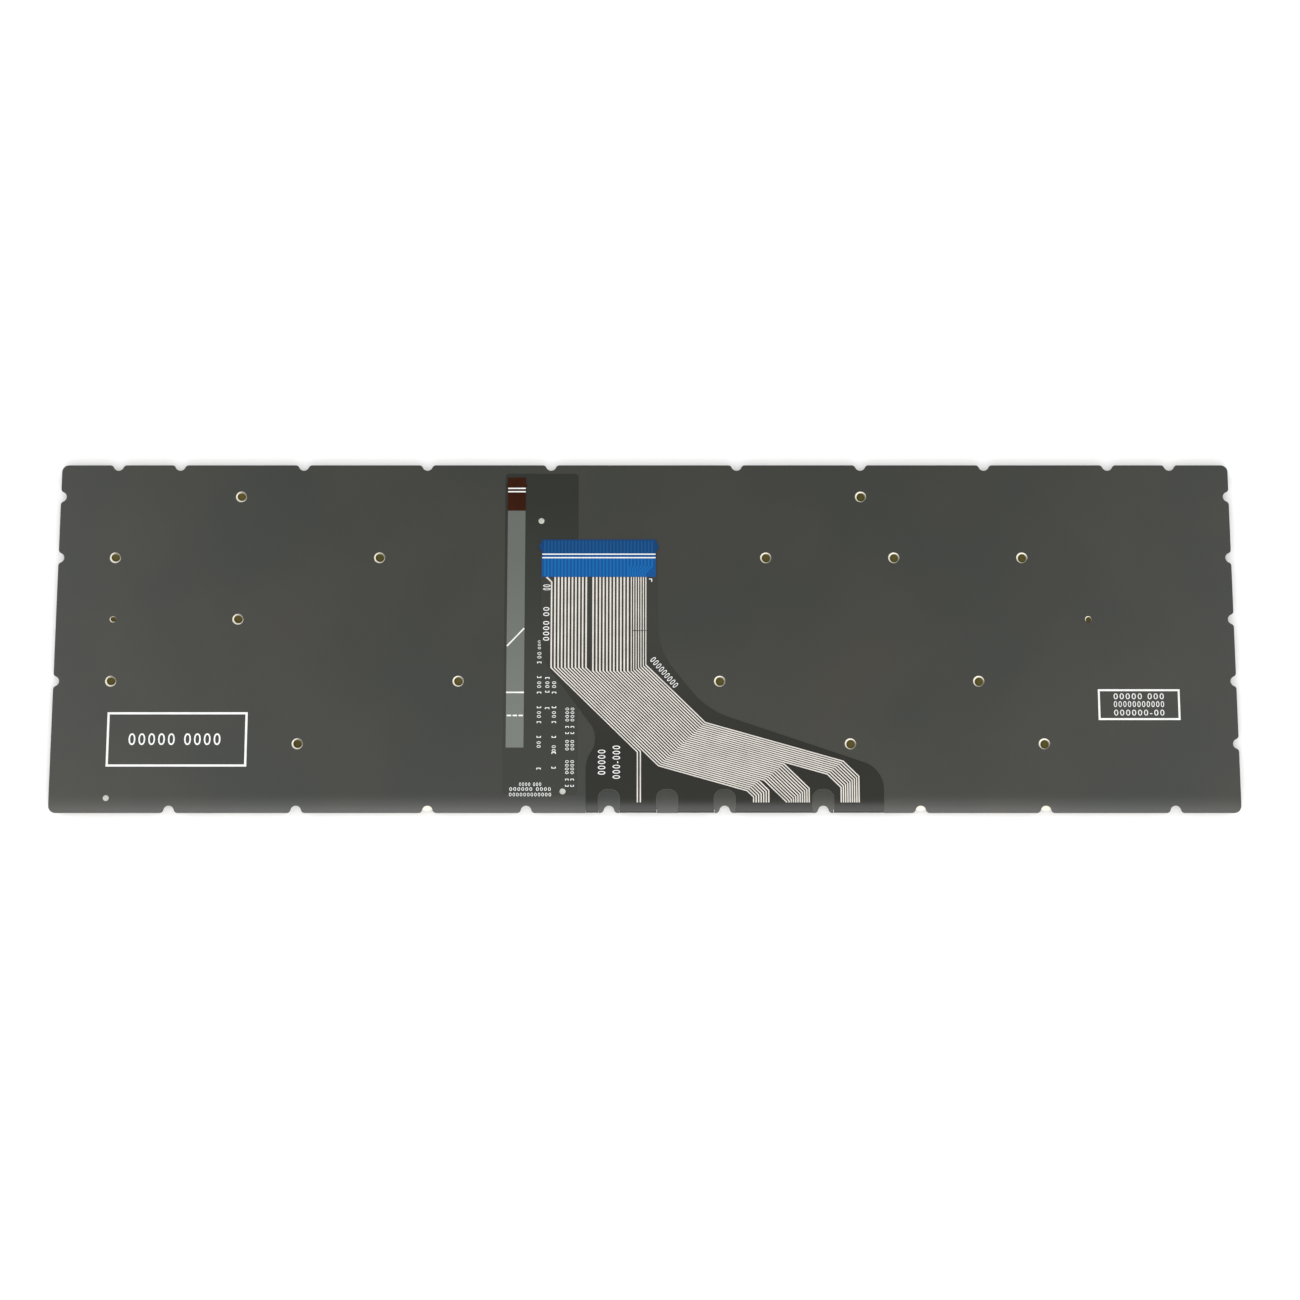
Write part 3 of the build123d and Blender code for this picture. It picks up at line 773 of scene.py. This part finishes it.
for x, ticks, labels in mark_columns:
    for number, y in enumerate(ticks):
        add_tick(x, y, 0.5, 0.4 if number % 2 else -0.4, 0.3)
    for y in labels:
        add_zeros(strip_marks, "00", (x, y), 1.9, 1.15, strip_high.z, 90)
add_zeros(strip_marks, "000", (-30.3, -2.4), 2.6, 0.9, strip_high.z, 90)
for x in (-22.2, -20.7):
    for words, y, length in (("0000", -23.0, 4.0), ("000", -32.0, 3.0), ("0000", -38.4, 4.0)):
        add_zeros(strip_marks, words, (x, y), length, 1.05, strip_high.z, 90)
    for y in (-26.5, -41.9):
        add_tick(x, y, 0.4, -0.4, 0.26)
        add_tick(x, y - 2.1, 0.4, 0.4, 0.26)
code_rows = (("0000 000", -43.4, 6.3), ("000000 0000", -44.8, 11.8), ("000000000000", -46.4, 12.0))
for words, y, length in code_rows:
    add_zeros(strip_marks, words, (-32.65, y), length, 1.05, strip_high.z)
settle(new_object("strip_marks", strip_marks), print_white)
strip_dots = bmesh.new()
add_dot(strip_dots, -30.0, 34.7, 0.85, strip_high.z)
add_dot(strip_dots, -23.4, -45.5, 0.85, strip_high.z)
settle(new_object("pale_dots_on_strip", strip_dots), dot_grey)

# Light tail: grey flat cable of the strip, laid back along it and held by its bend, with white lines
# across it. Its end is stiffened by a brown film with two lines that show how far it goes in.
tail_grey = finish("grey_light_tail", srgb(86, 91, 86), srgb(101, 106, 100), (0.3, 0.4), bump=0.03,
                   along=("Y", 0.06, -0.06))
tip_brown = finish("brown_tail_tip", srgb(44, 17, 5), srgb(55, 24, 8), (0.25, 0.35), cloud=200.0,
                   bump=0.03, Specular_IOR_Level=0.08)
light_low, light_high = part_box("light_tail")
tip_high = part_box("light_tail_tip")[1]
paint("light_tail", tail_grey)
paint("light_tail_tip", tip_brown)
light_left, light_right = light_low.x / mm, light_high.x / mm
light_lines = bmesh.new()
add_line(light_lines, [(light_left + 0.1, -2.8), (light_right - 0.1, 2.5)], 0.4, light_high.z)
add_line(light_lines, [(light_left, -16.5), (light_right, -16.5)], 0.45, light_high.z)
for dash in (0.05, 0.38, 0.71):
    start = light_left + dash * (light_right - light_left)
    add_line(light_lines, [(start, -23.3), (start + 1.25, -23.3)], 0.45, light_high.z)
for y in (44.5, 43.5):
    add_line(light_lines, [(light_left, y), (light_right, y)], 0.38, tip_high.z)
settle(new_object("light_tail_lines", light_lines), print_white)

# Printed silver traces on the tail: they leave the stiffener side by side, turn at 45 degrees, close
# up along the foot of the tail and fan out into three groups and a pair at the front edge.
trace_silver = finish("silver_trace_ink", srgb(196, 192, 184), srgb(214, 209, 201), (0.35, 0.5), cloud=220.0)
stiffener_low, stiffener_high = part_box("tail_stiffener")
trace_width = 0.48
narrow_share = 0.76
close_share = 0.62
trace_count = 29
foot_slope = 0.288
knee_x = 17.0
trace_foot_y = -48.7
trace_top_y = stiffener_low.y / mm
fan_groups = ((20, 28, 61.0, 0.635, 19.9), (9, 19, 46.8, 0.64, 2.2), (2, 8, 35.3, 0.72, -9.9))
fan_step = 1.04


def trace_start(index):
    """X of a trace at the stiffener: two even groups with a gap, then a closer one."""
    if index < 11:
        return -26.9 + index
    if index < 22:
        return -25.9 + index
    return -3.9 + 0.7 * (index - 22)


def trace_route(index):
    """Points of one trace from the stiffener to the front edge, in millimetres."""
    start = trace_start(index)
    diagonal = -36.1 + index
    route = [(start, trace_top_y), (start, diagonal - start)]
    if index == 0:
        route = [(start - 1.5, trace_top_y), (start, trace_top_y - 1.5), (start, diagonal - start)]
    if index < 2:
        foot = -2.1 + 0.85 * index
        return route + [(foot, diagonal - foot), (foot, trace_foot_y)]
    level = -25.3 - (trace_count - 1 - index) * 0.634
    rest = 1 - foot_slope
    knee = (diagonal - level - foot_slope * knee_x) / rest
    route.append((knee, diagonal - knee))
    for first, last, edge, pitch, offset in fan_groups:
        if first <= index <= last:
            place = last - index
            foot = edge - pitch * place
            fall = offset - fan_step * place
    turn = (fall - level - foot_slope * knee_x) / rest
    route.append((turn, fall - turn))
    if fall - foot > trace_foot_y:
        return route + [(foot, fall - foot), (foot, trace_foot_y)]
    return route + [(fall - trace_foot_y, trace_foot_y)]


def narrowed(route, first_share):
    """Doubles the first bend of a route, and gives the share of the width before and after it."""
    bend = 2 if len(route) > 2 and route[0][0] != route[1][0] else 1
    x, y = route[bend]
    past = (x + 0.3, y - 0.3)
    points = route[:bend + 1] + [past] + route[bend + 1:]
    return points, [first_share] * (bend + 1) + [narrow_share] * (len(points) - bend - 1)


traces = bmesh.new()
for index in range(trace_count):
    points, shares = narrowed(trace_route(index), 1 if index < 22 else close_share)
    add_mesh(traces, ribbon(points, trace_width, membrane_high.z, shares), Matrix.Identity(4))
cut_across(traces, slope_lines(slope_head, fold_y))
follow(traces, tail_surface)
settle(new_object("printed_traces", traces), trace_silver)

# Print on the tail: rows of zeros stand for the part's letters and dates, and a thin dark line crosses
# the closer traces. A thin pale line round the arches is a painted highlight, where the cut edge of
# the film catches the light.
tail_print = bmesh.new()
add_zeros(tail_print, "0000 00", (-28.4, 3.8), 10.0, 1.8, membrane_high.z, 90)
add_zeros(tail_print, "00", (-28.3, 14.7), 1.7, 2.2, membrane_high.z, 90)
add_zeros(tail_print, "000000000", (5.6, -10.6), 10.8, 1.9, membrane_high.z, -50)
add_zeros(tail_print, "00000", (-12.3, -37.0), 7.3, 2.2, membrane_high.z, 90)
add_zeros(tail_print, "000-000", (-8.1, -37.0), 9.7, 2.2, membrane_high.z, 90)
add_line(tail_print, [(1.2, 17.2), (2.0, 17.2), (2.0, 16.4)], 0.3, membrane_high.z)
settle(new_object("tail_letters", tail_print), print_white)
# Painted highlight: a thin pale line round each arch stands for the cut edge of the film catching the light.
painted_edge_highlight = finish("pale_film_edge", srgb(62, 62, 57), srgb(78, 78, 72), (0.5, 0.6), cloud=900.0)
arch_edge_highlights = bmesh.new()
edge_gap = 0.05
edge_half = arch_half / mm + edge_gap
edge_top = (front_y + arch_height) / mm + edge_gap
edge_corner = arch_corner / mm
edge_foot = front_y / mm + 1.4
for column in tail_arches:
    x = column_x(column) / mm
    angles = [math.pi / 2 * step / 8 for step in range(9)]
    left = [(x - edge_half + edge_corner * (1 - math.cos(a)), edge_top - edge_corner * (1 - math.sin(a)))
            for a in angles]
    right = [(2 * x - px, py) for px, py in reversed(left)]
    route = [(x - edge_half, edge_foot), *left, *right, (x + edge_half, edge_foot)]
    add_line(arch_edge_highlights, route, 0.14, membrane_high.z)
cut_across(arch_edge_highlights, slope_lines(slope_head, fold_y))
follow(arch_edge_highlights, tail_surface)
settle(new_object("pale_arch_edges", arch_edge_highlights), painted_edge_highlight)
dark_line = bmesh.new()
add_line(dark_line, [(-3.6, 1.8), (1.7, 1.8), (1.7, 6.6)], 0.22, membrane_high.z + 1.5 * print_thickness)
settle(new_object("dark_line_on_tail", dark_line), membrane_ink)

# Tail stiffener: blue plastic film bonded on the end of the tail, with a small ear on each side. The
# contacts on its other face show through as ribs, darker behind the two white lines that show how
# far it goes in.
darker_end = ("Y", 24.9 * mm, 23.3 * mm)
stiffener_blue = finish("blue_stiffener", srgb(0, 55, 103), srgb(0, 71, 131), (0.3, 0.4), bump=0.03,
                        along=darker_end, Specular_IOR_Level=0.2)
rib_blue = finish("blue_rib", srgb(2, 71, 125), srgb(3, 92, 158), (0.3, 0.4), bump=0.03,
                  along=darker_end, Specular_IOR_Level=0.2)
paint("tail_stiffener", stiffener_blue)
stiffener_lines = bmesh.new()
for y in (24.6, 23.55):
    add_line(stiffener_lines, [(-29.7, y), (3.1, y)], 0.36, stiffener_high.z + print_thickness)
settle(new_object("stiffener_lines", stiffener_lines), print_white)
ribs = bmesh.new()
rib_rear, rib_bend, rib_front = 28.6, 21.0, trace_top_y + 0.1
straight_ribs = 24
for number in range(32):
    x = -28.9 + number
    lean = 0.3 * max(number - straight_ribs, 0)
    points = [(x, rib_rear), (x, rib_bend)]
    if lean:
        points.append((x - lean, rib_bend - lean))
    add_line(ribs, points + [(x - lean, rib_front)], 0.5, stiffener_high.z)
settle(new_object("stiffener_ribs", ribs), rib_blue)

# Floor, light and camera: a plain white table under four soft lamps, seen from steeply above, as the
# photo shows the keyboard.
floor_white = bpy.data.materials.new("white_table")
floor_white.use_nodes = True
floor_shader = floor_white.node_tree.nodes["Principled BSDF"]
floor_shader.inputs["Base Color"].default_value = (0.95, 0.95, 0.95, 1)
floor_shader.inputs["Roughness"].default_value = 0.9
bm = bmesh.new()
bmesh.ops.create_grid(bm, x_segments=1, y_segments=1, size=4)
table = new_object("table", bm)
table.data.materials.append(floor_white)


def soft_lamp(name, place, size, power):
    """A square soft lamp that faces the middle of the keyboard."""
    lamp = bpy.data.lights.new(name, "AREA")
    lamp.shape = "SQUARE"
    lamp.size = size
    lamp.energy = power
    holder = bpy.data.objects.new(name, lamp)
    holder.location = place
    holder.rotation_euler = (-Vector(place)).to_track_quat("-Z", "Y").to_euler()
    bpy.context.scene.collection.objects.link(holder)


soft_lamp("main_lamp", (0.0, -0.55, 1.45), 1.1, 14)
soft_lamp("front_lamp", (0.0, -0.65, 0.55), 0.6, 2.6)
soft_lamp("left_lamp", (-0.75, 0.25, 1.1), 0.7, 3)
soft_lamp("right_lamp", (0.75, 0.25, 1.1), 0.7, 2.3)
world = bpy.data.worlds.new("studio")
world.use_nodes = True
world.node_tree.nodes["Background"].inputs["Color"].default_value = (1, 1, 1, 1)
world.node_tree.nodes["Background"].inputs["Strength"].default_value = 0.45
bpy.context.scene.world = world
bpy.context.scene.view_settings.view_transform = "Standard"

camera_height = math.radians(75.71)
camera_distance = 1.0237
camera_target = Vector((1.5 * mm, -3.9 * mm, film_high.z))
camera_data = bpy.data.cameras.new("camera")
camera_data.sensor_fit = "HORIZONTAL"
camera_data.angle = math.radians(20.7)
camera = bpy.data.objects.new("camera", camera_data)
camera.location = camera_target + camera_distance * Vector(
    (0, -math.cos(camera_height), math.sin(camera_height)))
camera.rotation_euler = (camera_target - camera.location).to_track_quat("-Z", "Y").to_euler()
bpy.context.scene.collection.objects.link(camera)
bpy.context.scene.camera = camera
